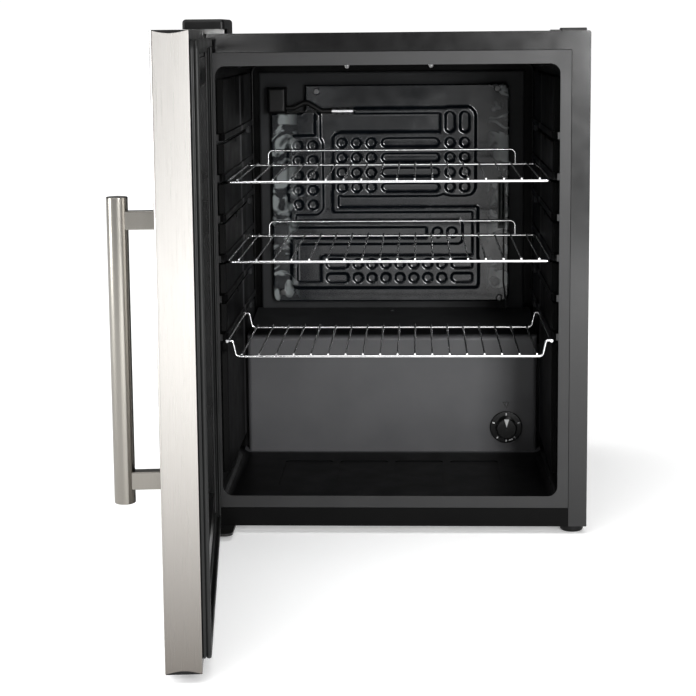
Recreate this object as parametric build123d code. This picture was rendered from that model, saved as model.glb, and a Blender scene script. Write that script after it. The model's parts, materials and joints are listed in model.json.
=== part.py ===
from build123d import *
import os
from math import cos, radians, sin

os.makedirs("parts", exist_ok=True)

# A compact undercounter beverage fridge, in millimetres. +X is to the right of
# someone facing the door opening, +Y is towards the back, +Z is up. The origin is
# on the floor, under the middle of the cabinet. The door is stored standing open.

# cabinet
cabinet_width = 445.0
cabinet_depth = 425.0
cabinet_height = 556.5
foot_height = 9.0
steel = 1.0
trim_width = 20.5
trim_lip = 8.0
rail_height = 21.0

# food compartment
opening_width = 379.0
opening_low = 35.0
opening_high = 521.0
opening_corner = 11.0
cavity_depth = 350.0
cavity_draft = 3.5
back_corner = 13.0
liner_wall = 2.0
back_foam = 45.0
hump_front = 200.0
hump_low_top = 182.5
hump_high_top = 194.5
hump_width = 360.0
hump_edge = 5.0
side_step = 12.0
panel_sink = 0.9
channel_depth = 10.0
channel_round = 3.0
back_panel_left = -174.5
back_panel_right = 172.5
back_panel_high = 506.3
bay_front = 268.0
bay_height = 148.0

# shelves and the grooves that they slide in
groove_pitch = 45.2
groove_top = 436.0
groove_count = 5
low_groove = 211.5
ledge_inner = 181.5
ledge_flare = 187.0
ledge_rear = 335.0
ledge_rise = 2.4
ledge_high = 9.9
pad_inner = 183.5
pad_front = 22.0
pad_low = 58.0
pad_high = 506.0
wire_play = 2.1
stop_front = 272.0
stop_rear = 297.0
shelf_half = 182.8
wire = 3.6
thin_wire = 2.2
bar_pitch = 19.9
bar_count = 18
weld = 0.3

# door
door_low = 1.0
door_high = 560.0
door_gap = 0.3
seal_depth = 8.0
door_metal_depth = 32.7
frame_border = 54.0
pin_inset = 12.0
pin_front = 21.0
pin_radius = 3.0
running_gap = 0.05
door_open = 84.5
handle_radius = 9.4
handle_length = 271.4
handle_reach = 33.7
handle_inset = 40.0

front = -cabinet_depth / 2
back = cabinet_depth / 2
half = cabinet_width / 2
floor_z = foot_height
top_z = floor_z + cabinet_height
seal_back = front - door_gap
frame_back = seal_back - seal_depth
door_face = frame_back - door_metal_depth
pin_x = -half + pin_inset
pin_y = front - pin_front
door_bottom = floor_z + door_low
door_top = floor_z + door_high
low = floor_z + opening_low
high = floor_z + opening_high
middle = (low + high) / 2


def block(x0, x1, y0, y1, z0, z1):
    """A rectangular block between two corners."""
    size = Box(x1 - x0, y1 - y0, z1 - z0)
    return Pos((x0 + x1) / 2, (y0 + y1) / 2, (z0 + z1) / 2) * size


def deep(d):
    """The Y of a point d behind the cabinet's front plane."""
    return front + d


def up(z):
    """The Z of a point z above the cabinet's lower edge."""
    return floor_z + z


def rod(radius, start, end):
    """A round bar between two points."""
    line = Vector(*end) - Vector(*start)
    plane = Plane(origin=start, z_dir=line)
    return extrude(plane * Circle(radius), line.length)


def tube_along(radius, path):
    """A round bar along a path."""
    plane = Plane(origin=path @ 0, z_dir=path % 0)
    return sweep(plane * Circle(radius), path=path)


def mirror_x(shape):
    return mirror(shape, about=Plane.YZ)


def fuse(shapes):
    whole = shapes[0]
    for shape in shapes[1:]:
        whole = whole + shape
    return whole


def swing(shape):
    """Turn a piece modelled on the closed door to the stored, open position."""
    return shape.rotate(Axis((pin_x, pin_y, 0), (0, 0, 1)), -door_open)


def save(name, *pieces):
    """Write one node; several pieces are separate solids in it."""
    solids = [solid for piece in pieces for solid in piece.solids()]
    shape = solids[0] if len(solids) == 1 else Compound(children=solids)
    export_step(shape, f"parts/{name}.step")


# ---------------------------------------------------------------- cabinet body


def facing(d):
    """A plane that looks at the back wall, d behind the front plane."""
    return Plane(origin=(0, deep(d), middle), x_dir=(1, 0, 0), z_dir=(0, 1, 0))


def cavity_prism(grow, end):
    """The food compartment's tapered box, grown outwards by a wall thickness."""
    width = opening_width + 2 * grow
    height = opening_high - opening_low + 2 * grow
    shrink = 2 * cavity_draft
    near = facing(0) * RectangleRounded(width, height, opening_corner + grow)
    far_size = (width - shrink, height - shrink)
    far = facing(end) * RectangleRounded(*far_size, back_corner + grow)
    prism = loft([near.face(), far.face()])
    rear = prism.faces().sort_by(Axis.Y)[-1]
    return fillet(rear.edges(), channel_round + grow)


def back_wall_field(shrink):
    """The raised field of the back wall, with a deep channel round it."""
    x0, x1 = back_panel_left + shrink, back_panel_right - shrink
    z1 = up(back_panel_high) - shrink
    field = block(x0, x1, deep(cavity_depth) + shrink, deep(cavity_depth) + 30, low - 20, z1)
    near = field.faces().sort_by(Axis.Y)[0]
    field_edges = [e for e in near.edges() if e.center().Z > low]
    return fillet(field_edges, max(channel_round - shrink / 2, 1.0))


def wedge(d0, d1, base, z0, z1, width):
    """A block with a sloping top that runs from the front edge to the back."""
    corners = ((d0, base), (d0, z0), (d1, z1), (d1, base))
    outline = Polyline(*[(deep(d), z) for d, z in corners], close=True)
    return extrude(Plane.YZ * make_face(outline), width, both=True)


def hump_solid(shrink):
    """The step over the compressor, shrunk by a wall thickness."""
    d0 = hump_front + shrink
    d1 = cavity_depth + 20.0
    slope = (hump_high_top - hump_low_top) / (cavity_depth - hump_front)
    drop = shrink * 1.02
    z0 = up(hump_low_top) - drop
    z1 = z0 + slope * (d1 - d0)
    base = low - 10.0
    step = side_step - shrink
    solid = wedge(d0, d1, base, z0, z1, hump_width / 2 - shrink)
    near = solid.faces().sort_by(Axis.Y)[0]
    edges = [e for e in near.edges() if e.center().Z > base + 1.0]
    solid = fillet(edges, max(hump_edge - shrink, 2.0))
    return solid + wedge(d0 + side_step, d1, base, z0 - step, z1 - step, half)


def wall_slab(points, z0, z1):
    """A slab on the right wall, from its plan outline, with a softened inner face."""
    outline = Polyline(*[(x, deep(d)) for x, d in points], close=True)
    slab = extrude(Plane.XY.offset(z0) * make_face(outline), z1 - z0)
    inner = slab.edges().filter_by(Axis.Y).group_by(Axis.X)[0]
    return fillet(inner, 1.2)


def ledge(z):
    """The rib over one shelf groove, and the block that stops the shelf."""
    outer = opening_width / 2 + 1.0
    front_points = ((outer, 0.6), (ledge_flare, 0.6), (ledge_inner, 14.0))
    points = (*front_points, (ledge_inner, ledge_rear), (outer, ledge_rear))
    rib = wall_slab(points, z + ledge_rise, z + ledge_high)
    stop_high = z + ledge_rise + 1
    return rib + block(ledge_inner - 1.5, outer, deep(stop_front), deep(stop_rear), z - 4.0, stop_high)


def side_pads():
    """The raised fields of the right wall; each groove lies on the top of one."""
    outer = opening_width / 2 + 1.0
    levels = groove_levels()
    tops = [up(pad_high)] + [z - wire_play for z in levels]
    bases = [z + ledge_high - 3.0 for z in levels] + [up(pad_low)]
    slope = outer - pad_inner
    front_points = ((outer, pad_front - slope), (pad_inner, pad_front))
    points = (*front_points, (pad_inner, ledge_rear), (outer, ledge_rear))
    pads = []
    for base, top in zip(bases, tops):
        notch = block(pad_inner - 1, outer - 2, deep(136), deep(144), top - 5, top + 1)
        pads.append(wall_slab(points, base, top) - notch)
    return pads


def groove_levels():
    regular = [up(groove_top - i * groove_pitch) for i in range(groove_count)]
    return regular + [up(low_groove)]


def floor_panels():
    """Four shallow sunk panels in the compartment floor."""
    panel = 58.0
    gap = 9.0
    total = 4 * panel + 3 * gap
    near, far = 41.0, 154.0
    slope = cavity_draft / cavity_depth
    shapes = []
    for i in range(4):
        x = -total / 2 + panel / 2 + i * (panel + gap)
        sketch = RectangleRounded(panel, far - near, 6)
        level = low + slope * (near + far) / 2
        plane = Plane(origin=(x, deep((near + far) / 2), level), x_dir=(1, 0, 0), z_dir=(0, -slope, 1))
        shapes.append(extrude(plane * sketch, -panel_sink))
        shapes.append(extrude(plane * sketch, panel_sink))
    return shapes


def back_wall_tab():
    """A small raised label field near the top of the back wall."""
    face = deep(cavity_depth)
    return block(49, 79, face - 1.5, face + 1, up(491), up(500))


def build_inner_liner():
    end = cavity_depth + channel_depth
    air = cavity_prism(0, end) - hump_solid(0) - back_wall_field(0)
    outside = cavity_prism(liner_wall, end + liner_wall)
    for piece in [ledge(level) for level in groove_levels()] + side_pads():
        air = air - piece - mirror_x(piece)
    skin = outside - hump_solid(liner_wall) - back_wall_field(liner_wall) - air
    skin = skin + plate_bosses() + back_wall_tab()
    flange_low = floor_z + rail_height + 0.5
    flange_high = top_z - trim_width - 0.5
    flange_half = half - trim_width - 0.5
    flange = block(-flange_half, flange_half, front, front + 2.0, flange_low, flange_high)
    flange = flange - cavity_prism(0, cavity_depth)
    liner = skin + flange
    for panel in floor_panels():
        liner = liner - panel
    shaft_hole = rod(5.2, (knob_x, deep(hump_front) - 5, knob_z), (knob_x, deep(hump_front + 24), knob_z))
    drain_hole = rod(4.0, (0, deep(cavity_depth - 18), low + 100), (0, deep(cavity_depth - 18), up(230)))
    lamp_holes = fuse([rod(3.2, (x, lamp_y, high - 8), (x, lamp_y, high + 3)) for x in lamp_places])
    tube_hole = rod(4.6, (port_x, deep(cavity_depth - 6), port_z), (port_x, deep(cavity_depth + 5), port_z))
    liner = liner - shaft_hole - drain_hole - lamp_holes - tube_hole
    screw_holes = [rod(2.05, (x, plate_face, z), (x, deep(cavity_depth) + 0.2, z)) for x, z in plate_screws()]
    return liner - fuse(screw_holes)


def build_cabinet_shell():
    """Painted sheet bent over the top and down both sides, with front flanges."""
    outer = block(-half, half, front, back, floor_z, top_z)
    top_edges = [e for e in outer.edges().filter_by(Axis.Y) if e.center().Z > top_z - 1]
    outer = fillet(top_edges, 2.5)
    hollow = block(-half + steel, half - steel, front + steel, back + 1, floor_z - 1, top_z - steel)
    shell = outer - hollow
    edge = half - trim_width
    shell = shell - block(-edge, edge, front - 1, front + 2, floor_z - 1, top_z - trim_width)
    lip_back = front + trim_lip
    for side in (-1, 1):
        x0, x1 = sorted((side * edge, side * (edge + steel)))
        shell = shell + block(x0, x1, front, lip_back, floor_z, top_z - trim_width + steel)
    shell = shell + block(-edge, edge, front, lip_back, top_z - trim_width, top_z - trim_width + steel)
    mitre = Box(trim_width * 1.5, 0.5, 0.4)
    centre = half - trim_width / 2
    for side in (-1, 1):
        cut = Pos(side * centre, front, top_z - trim_width / 2) * Rot(0, -45 * side, 0) * mitre
        shell = shell - cut
    return shell


def build_front_bottom_rail():
    edge = half - trim_width - 0.15
    face = block(-edge, edge, front, front + steel, floor_z, floor_z + rail_height)
    lip_z = floor_z + rail_height
    lip = block(-edge, edge, front, front + trim_lip, lip_z - steel, lip_z)
    foot = block(-edge, edge, front, front + 10, floor_z, floor_z + steel)
    return face + lip + foot


def foot_places():
    x = half - 15.0
    return [(-x, deep(20)), (x, deep(20))]


def rear_foot_places():
    x = half - 22.0
    return [(-x, deep(400)), (x, deep(400))]


def stud_holes(radius, places, z0, z1):
    return fuse([rod(radius, (x, y, z0), (x, y, z1)) for x, y in places])


def build_base_plate():
    inner = half - steel - 0.1
    z0 = floor_z
    plate = block(-inner, inner, front + 10.2, deep(bay_front) - 0.2, z0, z0 + steel)
    studs = stud_holes(4.0 + running_gap, foot_places(), z0 - 1, z0 + 3)
    return plate - studs - screw_bores(bottom_screws, z0 - 1, z0 + 3)


def build_bay_panel():
    """The bent sheet that closes the foam off from the compressor bay."""
    inner = half - steel - 0.1
    wall = block(-inner, inner, deep(bay_front), deep(bay_front) + steel, floor_z, up(bay_height))
    rear = deep(cavity_depth + liner_wall + back_foam)
    roof = block(-inner, inner, deep(bay_front), rear, up(bay_height), up(bay_height) + steel)
    drain = rod(7.2, (0, drain_y, up(bay_height) - 3), (0, drain_y, up(bay_height) + 3))
    lines = rod(3.4, (line_x, line_y, up(bay_height) - 3), (line_x, line_y, up(bay_height) + 3))
    return wall + roof - drain - lines


def build_back_panel():
    """The sheet behind the foam, pressed with two shallow ribs."""
    inner = half - steel - 0.1
    d = cavity_depth + liner_wall + back_foam
    z0 = up(bay_height)
    panel = block(-inner, inner, deep(d), deep(d) + steel, z0, top_z - steel - 0.1)
    for x in (-95, 95):
        rib_low, rib_high = z0 + 60, top_z - 60
        sketch = Plane(origin=(x, deep(d) + steel, (rib_low + rib_high) / 2), x_dir=(1, 0, 0), z_dir=(0, 1, 0))
        panel = panel + extrude(sketch * SlotOverall(rib_high - rib_low, 18, rotation=90), 1.2)
    return panel


def build_foam():
    inner = half - steel - 0.1
    rear = deep(cavity_depth + liner_wall + back_foam) - 0.05
    lip = front + trim_lip + 0.1
    body = block(-inner, inner, lip, rear, floor_z + steel + 0.1, top_z - steel - 0.1)
    edge = half - trim_width - 0.2
    nose_low, nose_high = floor_z + rail_height + 0.2, top_z - trim_width - 0.2
    body = body + block(-edge, edge, front + 2.05, lip + 1, nose_low, nose_high)
    bay = block(-half, half, deep(bay_front) - 0.05, back, 0, up(bay_height) + steel + 0.05)
    body = body - bay
    grown = liner_wall + 0.05
    lined = cavity_prism(grown, cavity_depth + channel_depth + grown)
    lined = lined - hump_solid(grown) - back_wall_field(grown)
    body = body - lined
    studs = stud_holes(6.5, foot_places(), 0, floor_z + 24)
    box = block(knob_x - 24, knob_x + 24, deep(hump_front), deep(hump_front + 28), knob_z - 22, knob_z + 22)
    drain = rod(7.2, (0, drain_y, up(bay_height)), (0, drain_y, up(hump_high_top + 5)))
    lamps = fuse([rod(4.5, (x, lamp_y, high - 8), (x, lamp_y, high + 14)) for x in lamp_places])
    run = tube_along(5.0, suction_path())
    screws = screw_bores(bottom_screws, floor_z, floor_z + 8)
    return body - studs - box - drain - lamps - run - screws


# ------------------------------------------------------------------ cold plate

knob_x = 142.0
knob_z = floor_z + 68.0
lamp_places = (-49.0, 49.0)
lamp_y = deep(120)
port_x = -149.3
port_z = up(470)
drain_y = deep(cavity_depth - 18)
line_x = -170.0
line_y = deep(385)

plate_face = deep(338)
plate_thick = 1.6
plate_rise = 2.2
plate_left = -158.5
plate_right = 152.5
plate_low = up(204)
plate_high = up(490)
notch_x = -113.4
notch_z = up(453)
line_front = deep(cavity_depth - 20)
thin_line_front = deep(cavity_depth - 15.5)
joint_z = 456.0
tube = 7.5
dot = 6.1
row_pitch = 19.4
column_pitch = 19.1


def plate_plane(d=0.0):
    return Plane(origin=(0, plate_face - d, 0), x_dir=(1, 0, 0), z_dir=(0, -1, 0))


def rounded(x0, x1, z0, z1, radius):
    shape = RectangleRounded(x1 - x0, z1 - z0, radius)
    return Pos((x0 + x1) / 2, (z0 + z1) / 2) * shape


def dots(columns, rows, radius):
    return [Pos(x, z) * Circle(radius) for x in columns for z in rows]


def evenly(start, step, count):
    return [start + i * step for i in range(count)]


def field(x0, x1, z0, z1, radius):
    """A rounded field on the plate, with heights above the cabinet's lower edge."""
    return rounded(x0, x1, up(z0), up(z1), radius)


def pill(x0, x1, z, wide):
    """A sunk slot with round ends, centred on a height."""
    return field(x0, x1, z - wide / 2, z + wide / 2, wide / 2 - 0.05)


def plate_left_group():
    """The narrow raised group at the left and the feed that rises from it."""
    group = field(-136.8, -90.4, 319.9, 423.8, 12)
    rows = [up(z) for z in evenly(332.9, row_pitch, 5)]
    group = group - dots(evenly(-123.0, column_pitch, 2), rows, dot)
    return group + field(-100.7, -100.7 + tube, 416, 452.7, 3)


def plate_main_group():
    """The large raised group: dots at the left, long slots, dots at the right."""
    group = field(-77.7, 70.0, 344.5, 427.6, 11) + field(62.3, 108.4, 344.5, 460, 12)
    group = group + field(-50.7, 74.0, 451.5, 451.5 + tube, 3.5)
    rows = evenly(355.8, row_pitch, 4)
    heights = [up(z) for z in rows]
    group = group - dots(evenly(-65.7, column_pitch, 3), heights, dot)
    right = evenly(75.2, column_pitch, 2)
    group = group - dots(right, heights, dot)
    for z in rows:
        group = group - pill(-13.3, 61.1, z, 11.0)
    for x in right:
        group = group - field(x - dot, x + dot, 427.2, 453.6, dot - 0.05)
    return group


def plate_return_path():
    """The turn under the main group and the line down the plate's right side."""
    turn = field(-78.2, -78.2 + tube, 323, 354, 3.5)
    across = field(-78.2, 111.8, 323, 323 + tube, 3.5)
    return turn + across + field(111.8 - tube, 111.8, 222.6, 323 + tube, 3.5)


def plate_lower_group():
    """The wide raised group along the lower edge."""
    group = field(-94.8, 112.2, 222.8, 266.4, 6)
    for z in (236.3, 254.9):
        group = group - pill(-87.3, -58.1, z, 12.0) - pill(76.8, 105.9, z, 12.0)
        group = group - dots(evenly(-45.9, 18.35, 7), [up(z)], dot)
    return group


def plate_left_ring():
    """The line that loops from the lower group back up to the left group."""
    riser = field(-133.2, -133.2 + tube, 223.2, 288.2, 3.5)
    path = riser + field(-133.2, -90, 223.2, 223.2 + tube, 3.5)
    path = path + field(-133.2, 50, 281.2, 281.2 + tube, 3.5)
    block_field = field(44.4, 91.3, 281.3, 312.4, 6)
    path = path + block_field - dots(evenly(58.4, column_pitch, 2), [up(296.6)], dot)
    path = path + field(-134, 50, 303, 312.4, 4)
    return path + field(-134, -134 + tube, 303, 334, 3.5)


def build_evaporator_plate():
    """A roll-bonded plate with raised refrigerant channels around sunk dots."""
    outline = rounded(plate_left, plate_right, plate_low, plate_high, 10)
    outline = outline - rounded(plate_left - 20, notch_x, notch_z, plate_high + 20, 6)
    holes = [Pos(x, z) * Circle(2.2) for x, z in plate_screws()]
    plate = extrude(plate_plane() * (outline - holes), -plate_thick)
    groups = [plate_left_group(), plate_main_group(), plate_return_path()]
    groups += [plate_lower_group(), plate_left_ring()]
    return plate + extrude(plate_plane() * fuse(groups), plate_rise)


def plate_screws():
    inset = 13.0
    corners = [(notch_x + inset + 2, plate_high - inset + 4)]
    corners.append((plate_right - inset - 3, plate_high - inset + 6))
    corners += [(plate_left + inset, plate_low + inset), (plate_right - inset, plate_low + 5)]
    return corners


def build_plate_screws():
    made = []
    for x, z in plate_screws():
        shank = rod(2.0, (x, plate_face - 0.1, z), (x, deep(cavity_depth), z))
        head = rod(4.0, (x, plate_face - 2.4, z), (x, plate_face, z))
        edge = head.edges().group_by(Axis.Y)[0]
        made.append(fillet(edge, 1.0) + shank)
    return made


def plate_bosses():
    """The moulded studs on the back wall that the plate screws into."""
    y0, y1 = plate_face + plate_thick, deep(cavity_depth) + 1
    return fuse([rod(5.0, (x, y0, z), (x, y1, z)) for x, z in plate_screws()])


def suction_path():
    """The return line's route through the foam to the compressor bay."""
    behind = deep(cavity_depth + 24)
    points = [
        (port_x, deep(cavity_depth - 10), port_z),
        (port_x, behind, port_z),
        (line_x, behind, port_z - 60),
        (line_x, line_y, up(bay_height) + 60),
        (line_x, line_y, up(bay_height) - 8),
    ]
    return FilletPolyline(*points, radius=11)


def build_port_cover():
    """The moulded cover where the refrigerant lines leave the compartment."""
    y0, y1 = deep(cavity_depth - 25), deep(cavity_depth) - 0.1
    cover = block(port_x - 12.2, port_x + 12.2, y0, y1, up(453.4), up(487))
    near = cover.faces().sort_by(Axis.Y)[0]
    cover = fillet(near.edges(), 4)
    hole = rod(4.0, (port_x, deep(cavity_depth - 11), port_z), (port_x, deep(cavity_depth) + 1, port_z))
    return cover - hole


def build_line_sleeve():
    """The black insulated stretch of line between the cover and the joint."""
    y = line_front
    points = [
        (port_x + 12.3, y, up(460)),
        (port_x + 22, y, up(460)),
        (-112, y, up(468)),
        (-92, y, up(joint_z)),
        (-78.2, y, up(joint_z)),
    ]
    return tube_along(3.2, FilletPolyline(*points, radius=9))


def build_line_joint():
    """The ribbed metal joint between the line and the plate's inlet."""
    y = line_front
    parts = [rod(3.6, (-78, y, up(joint_z)), (-50.2, y, up(joint_z)))]
    for x in evenly(-77.0, 7.2, 4):
        parts.append(rod(4.4, (x, y, up(joint_z)), (x + 4.2, y, up(joint_z))))
    return fuse(parts)


def build_capillary():
    """The thin tube that runs beside the sleeve to the left group's inlet."""
    y = thin_line_front
    points = [(port_x + 12.3, y, up(455)), (-97, y, up(455)), (-97, y, up(444))]
    return tube_along(1.1, FilletPolyline(*points, radius=6))


def build_sensor_clip():
    """The strip that holds the thermostat's bulb against the plate."""
    x, z0, z1 = 142.2, up(301), up(369)
    strip = block(x - 5, x + 5, plate_face - 1.4, plate_face - 0.1, z0, z1)
    crown = rod(3.4, (x, plate_face - 1.6, z0 + 4), (x, plate_face - 1.6, z1 - 4))
    return strip + (crown - block(x - 9, x + 9, plate_face - 0.1, plate_face + 9, z0, z1))


def build_sensor_line():
    """The thermostat's sensing line, from the clip down to the hump."""
    x, y = 145.0, plate_face - 1.8
    points = [(x, y, up(300.8)), (x, y, up(230)), (x + 3, y - 4, up(206)), (x + 3, y - 4, up(193.8))]
    return tube_along(1.1, FilletPolyline(*points, radius=5))


# ------------------------------------------------------------ thermostat, lamps


def knob_plane(d):
    return Plane(origin=(knob_x, deep(hump_front) - d, knob_z), x_dir=(1, 0, 0), z_dir=(0, -1, 0))


def build_thermostat_body():
    back_face = deep(hump_front + 27)
    body = block(knob_x - 21, knob_x + 21, deep(hump_front + 8), back_face, knob_z - 19, knob_z + 19)
    bush = rod(5.0, (knob_x, deep(hump_front + 2.3), knob_z), (knob_x, deep(hump_front + 8), knob_z))
    bore = rod(3.0 + running_gap, (knob_x, deep(hump_front) - 1, knob_z), (knob_x, deep(hump_front + 20), knob_z))
    return body + bush - bore


def build_thermostat_shaft():
    shaft = rod(3.0, (knob_x, deep(hump_front) - 10, knob_z), (knob_x, deep(hump_front + 19.5), knob_z))
    flat = block(knob_x - 4, knob_x + 4, deep(hump_front) - 11, deep(hump_front) - 0.2, knob_z + 1.8, knob_z + 4)
    return shaft - flat


def build_thermostat_knob():
    """A dial disc with a raised grip; it presses onto the flatted shaft."""
    disc = extrude(knob_plane(0.4) * Circle(20), 3.0)
    disc = fillet(disc.edges().group_by(Axis.Y)[0], 1.0)
    grip = extrude(knob_plane(3.4) * Circle(13.2), 11.0, taper=3)
    grip = fillet(grip.edges().group_by(Axis.Y)[0], 1.6)
    knob = disc + grip
    wedge = Polyline((-3.4, 13.0), (3.4, 13.0), (0.0, 1.5), close=True)
    knob = knob - extrude(knob_plane(13.6) * make_face(wedge), 3)
    shaft = rod(3.0, (knob_x, deep(hump_front) + 1, knob_z), (knob_x, deep(hump_front) - 10, knob_z))
    flat = block(knob_x - 4, knob_x + 4, deep(hump_front) - 11, deep(hump_front) + 1, knob_z + 1.8, knob_z + 4)
    return knob - (shaft - flat)


def knob_pointer():
    wedge = Polyline((-3.0, 12.4), (3.0, 12.4), (0.0, 2.0), close=True)
    return extrude(knob_plane(13.6) * make_face(wedge), 0.9)


def build_knob_marks():
    """The small raised marks around the dial."""
    made = []
    for angle in (0, 70, 140, 180, 220, 290):
        a = radians(angle)
        spot = Pos(16.6 * sin(a), 16.6 * cos(a)) * Rot(0, 0, -angle) * RectangleRounded(1.6, 3.0, 0.7)
        made.append(extrude(knob_plane(3.4) * spot, 0.4))
    a = radians(160)
    dash = Pos(16.6 * sin(a), 16.6 * cos(a)) * Rot(0, 0, -160) * RectangleRounded(5.0, 1.6, 0.7)
    made.append(extrude(knob_plane(3.4) * dash, 0.4))
    return made


def build_dial_index():
    """The triangular index mark on the hump, above the dial."""
    outer = Polyline((-4.6, 31.6), (4.6, 31.6), (0.0, 23.0), close=True)
    inner = Polyline((-2.4, 30.2), (2.4, 30.2), (0.0, 26.0), close=True)
    return extrude(knob_plane(0.0) * (make_face(outer) - make_face(inner)), 0.3)


def build_lamp_lenses():
    made = []
    for x in lamp_places:
        stem = rod(2.9, (x, lamp_y, high - 3.2), (x, lamp_y, high + 3))
        dome = Pos(x, lamp_y, high - 3.2) * Sphere(2.9)
        made.append(stem + dome)
    return made


# ---------------------------------------------------------------------- shelves


def shelf_loop(d0, d1, z, corner):
    """A wire bent into a flat rectangle, in two halves welded in the middle."""
    points = [
        (0, deep(d0), z),
        (shelf_half, deep(d0), z),
        (shelf_half, deep(d1), z),
        (0, deep(d1), z),
    ]
    right = tube_along(wire / 2, FilletPolyline(*points, radius=corner))
    return right + mirror_x(right)


def shelf_bars(d0, d1, z, pitch):
    start = -(bar_count - 1) / 2 * pitch
    lift = z + wire / 2 + thin_wire / 2 - weld
    return [
        rod(thin_wire / 2, (start + i * pitch, deep(d0), lift), (start + i * pitch, deep(d1), lift))
        for i in range(bar_count)
    ]


def build_railed_shelf(z):
    d0, d1 = 23.0, 268.0
    frame = shelf_loop(d0, d1, z, 6)
    rail_x, rise = 156.0, 18.5
    points = [
        (-rail_x, deep(d1), z),
        (-rail_x, deep(d1), z + rise),
        (rail_x, deep(d1), z + rise),
        (rail_x, deep(d1), z),
    ]
    rail = tube_along(wire / 2 - 0.2, FilletPolyline(*points, radius=6))
    return fuse([frame, rail] + shelf_bars(d0 - 0.5, d1 + 0.5, z, bar_pitch))


def build_hanging_shelf():
    """The short bottom shelf: a sunk deck hung from two side rails."""
    d0, d1 = 14.0, 203.0
    rail_z, deck_z = up(low_groove), up(low_groove) - 18.0
    right = [(173.0, deck_z), (177.0, rail_z), (shelf_half, rail_z)]
    left = [(-x, z) for x, z in reversed(right)]
    pieces = []
    for d in (d0, d1):
        path = FilletPolyline(*[(x, deep(d), z) for x, z in left + right], radius=(2.6, 5, 5, 2.6))
        pieces.append(tube_along(wire / 2 - 0.2, path))
    side = rod(wire / 2, (shelf_half, deep(d0) - 3, rail_z), (shelf_half, deep(d1) + 3, rail_z))
    pieces += [side, mirror_x(side)]
    return fuse(pieces + shelf_bars(d0 - 1.6, d1 + 3.4, deck_z, 19.6))


# -------------------------------------------------------------- hinges and feet


def hinge_outline(d0, d1, z0, z1):
    plate = block(-half + 5.6, -half + 46, deep(d0), deep(d1), z0, z1)
    edges = plate.edges().filter_by(Axis.Z).group_by(Axis.Y)[0]
    return fillet(edges, 8)


plate_gap = 4.6
hinge_steel = 2.5
top_screws = ((-half + 12, 12.0), (-half + 34, 12.0), (-half + 23, 30.0))
bottom_screws = ((-half + 36, 14.0), (-half + 36, 34.0))


def screw_bores(places, z0, z1):
    return fuse([rod(2.6, (x, deep(d), z0), (x, deep(d), z1)) for x, d in places])


def build_top_hinge_plate():
    z0 = top_z + plate_gap
    plate = hinge_outline(-33, 38, z0, z0 + hinge_steel)
    bore = rod(pin_radius, (pin_x, pin_y, z0 - 1), (pin_x, pin_y, z0 + 5))
    return plate - bore - screw_bores(top_screws, z0 - 1, z0 + 5)


def build_top_hinge_spacer():
    spacer = block(-half + 6, -half + 44, deep(3), deep(37), top_z, top_z + plate_gap)
    return spacer - screw_bores(top_screws, top_z - 1, top_z + plate_gap + 1)


def build_top_hinge_pin():
    z1 = top_z + plate_gap + hinge_steel
    shank = rod(pin_radius, (pin_x, pin_y, door_top - 12), (pin_x, pin_y, z1))
    return shank + rod(pin_radius + 1.6, (pin_x, pin_y, z1), (pin_x, pin_y, z1 + 1.6))


def hinge_screw(x, d, z, way):
    """A screw whose head rests at z and whose shank runs along way."""
    head = rod(4.2, (x, deep(d), z), (x, deep(d), z - way * 2.2))
    return head + rod(2.5, (x, deep(d), z), (x, deep(d), z + way * 6.8))


def build_hinge_screws():
    z = top_z + plate_gap + hinge_steel
    made = [hinge_screw(x, d, z, -1) for x, d in top_screws]
    return made + [hinge_screw(x, d, floor_z - 3, 1) for x, d in bottom_screws]


def build_top_hinge_cover():
    """The rounded plastic cover over the top hinge, open underneath."""
    x0, x1 = -half + 3.5, -half + 49.0
    y0, y1 = deep(-41.0), deep(42)
    z1 = top_z + 15.5
    cover = block(x0, x1, y0, y1, top_z, z1)
    tops = [e for e in cover.edges() if e.center().Z > z1 - 0.1]
    uprights = cover.edges().filter_by(Axis.Z)
    cover = fillet(tops + list(uprights), 4.0)
    wall = 1.8
    inside = block(x0 + wall, x1 - wall, y0 + wall, y1 - wall, top_z - 1, z1 - wall)
    cover = cover - inside
    over_door = block(x0 - 1, x1 + 1, y0 - 1, front + 0.4, top_z - 1, top_z + plate_gap + 0.4)
    return cover - over_door


def build_spare_hinge_cap():
    """The flat cap over the unused hinge holes at the other top corner."""
    body = block(half - 31, half - 4, deep(8), deep(40), top_z, top_z + 3)
    body = fillet([e for e in body.edges() if e.center().Z > top_z + 2.9], 1.0)
    return body + block(half - 42, half - 30, deep(12), deep(36), top_z, top_z + 1.1)


def build_bottom_hinge_plate():
    plate = hinge_outline(-33, 45, floor_z - 3, floor_z)
    bore = rod(pin_radius, (pin_x, pin_y, 0), (pin_x, pin_y, floor_z + 1))
    x, y = foot_places()[0]
    stud = rod(4.0 + running_gap, (x, y, 0), (x, y, floor_z + 1))
    return plate - bore - stud - screw_bores(bottom_screws, 0, floor_z + 1)


def build_bottom_hinge_pin():
    shank = rod(pin_radius, (pin_x, pin_y, floor_z - 3), (pin_x, pin_y, door_bottom + 12))
    washer = rod(pin_radius + 3, (pin_x, pin_y, floor_z), (pin_x, pin_y, floor_z + 0.7))
    return shank + washer


def build_front_foot(place, pad_top):
    """A screw-in levelling foot."""
    x, y = place
    pad = rod(13, (x, y, 0), (x, y, pad_top))
    pad = fillet(pad.edges().group_by(Axis.Z)[0], min(2.6, pad_top / 2.4))
    pad = fillet(pad.edges().group_by(Axis.Z)[-1], 0.8)
    return pad + rod(4.0, (x, y, pad_top - 0.5), (x, y, floor_z + 18))


def build_rear_feet():
    made = []
    for x, y in rear_foot_places():
        pad = rod(11, (x, y, 0), (x, y, floor_z))
        pad = fillet(pad.edges().group_by(Axis.Z)[0], 2.0)
        made.append(pad)
    return made


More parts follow.
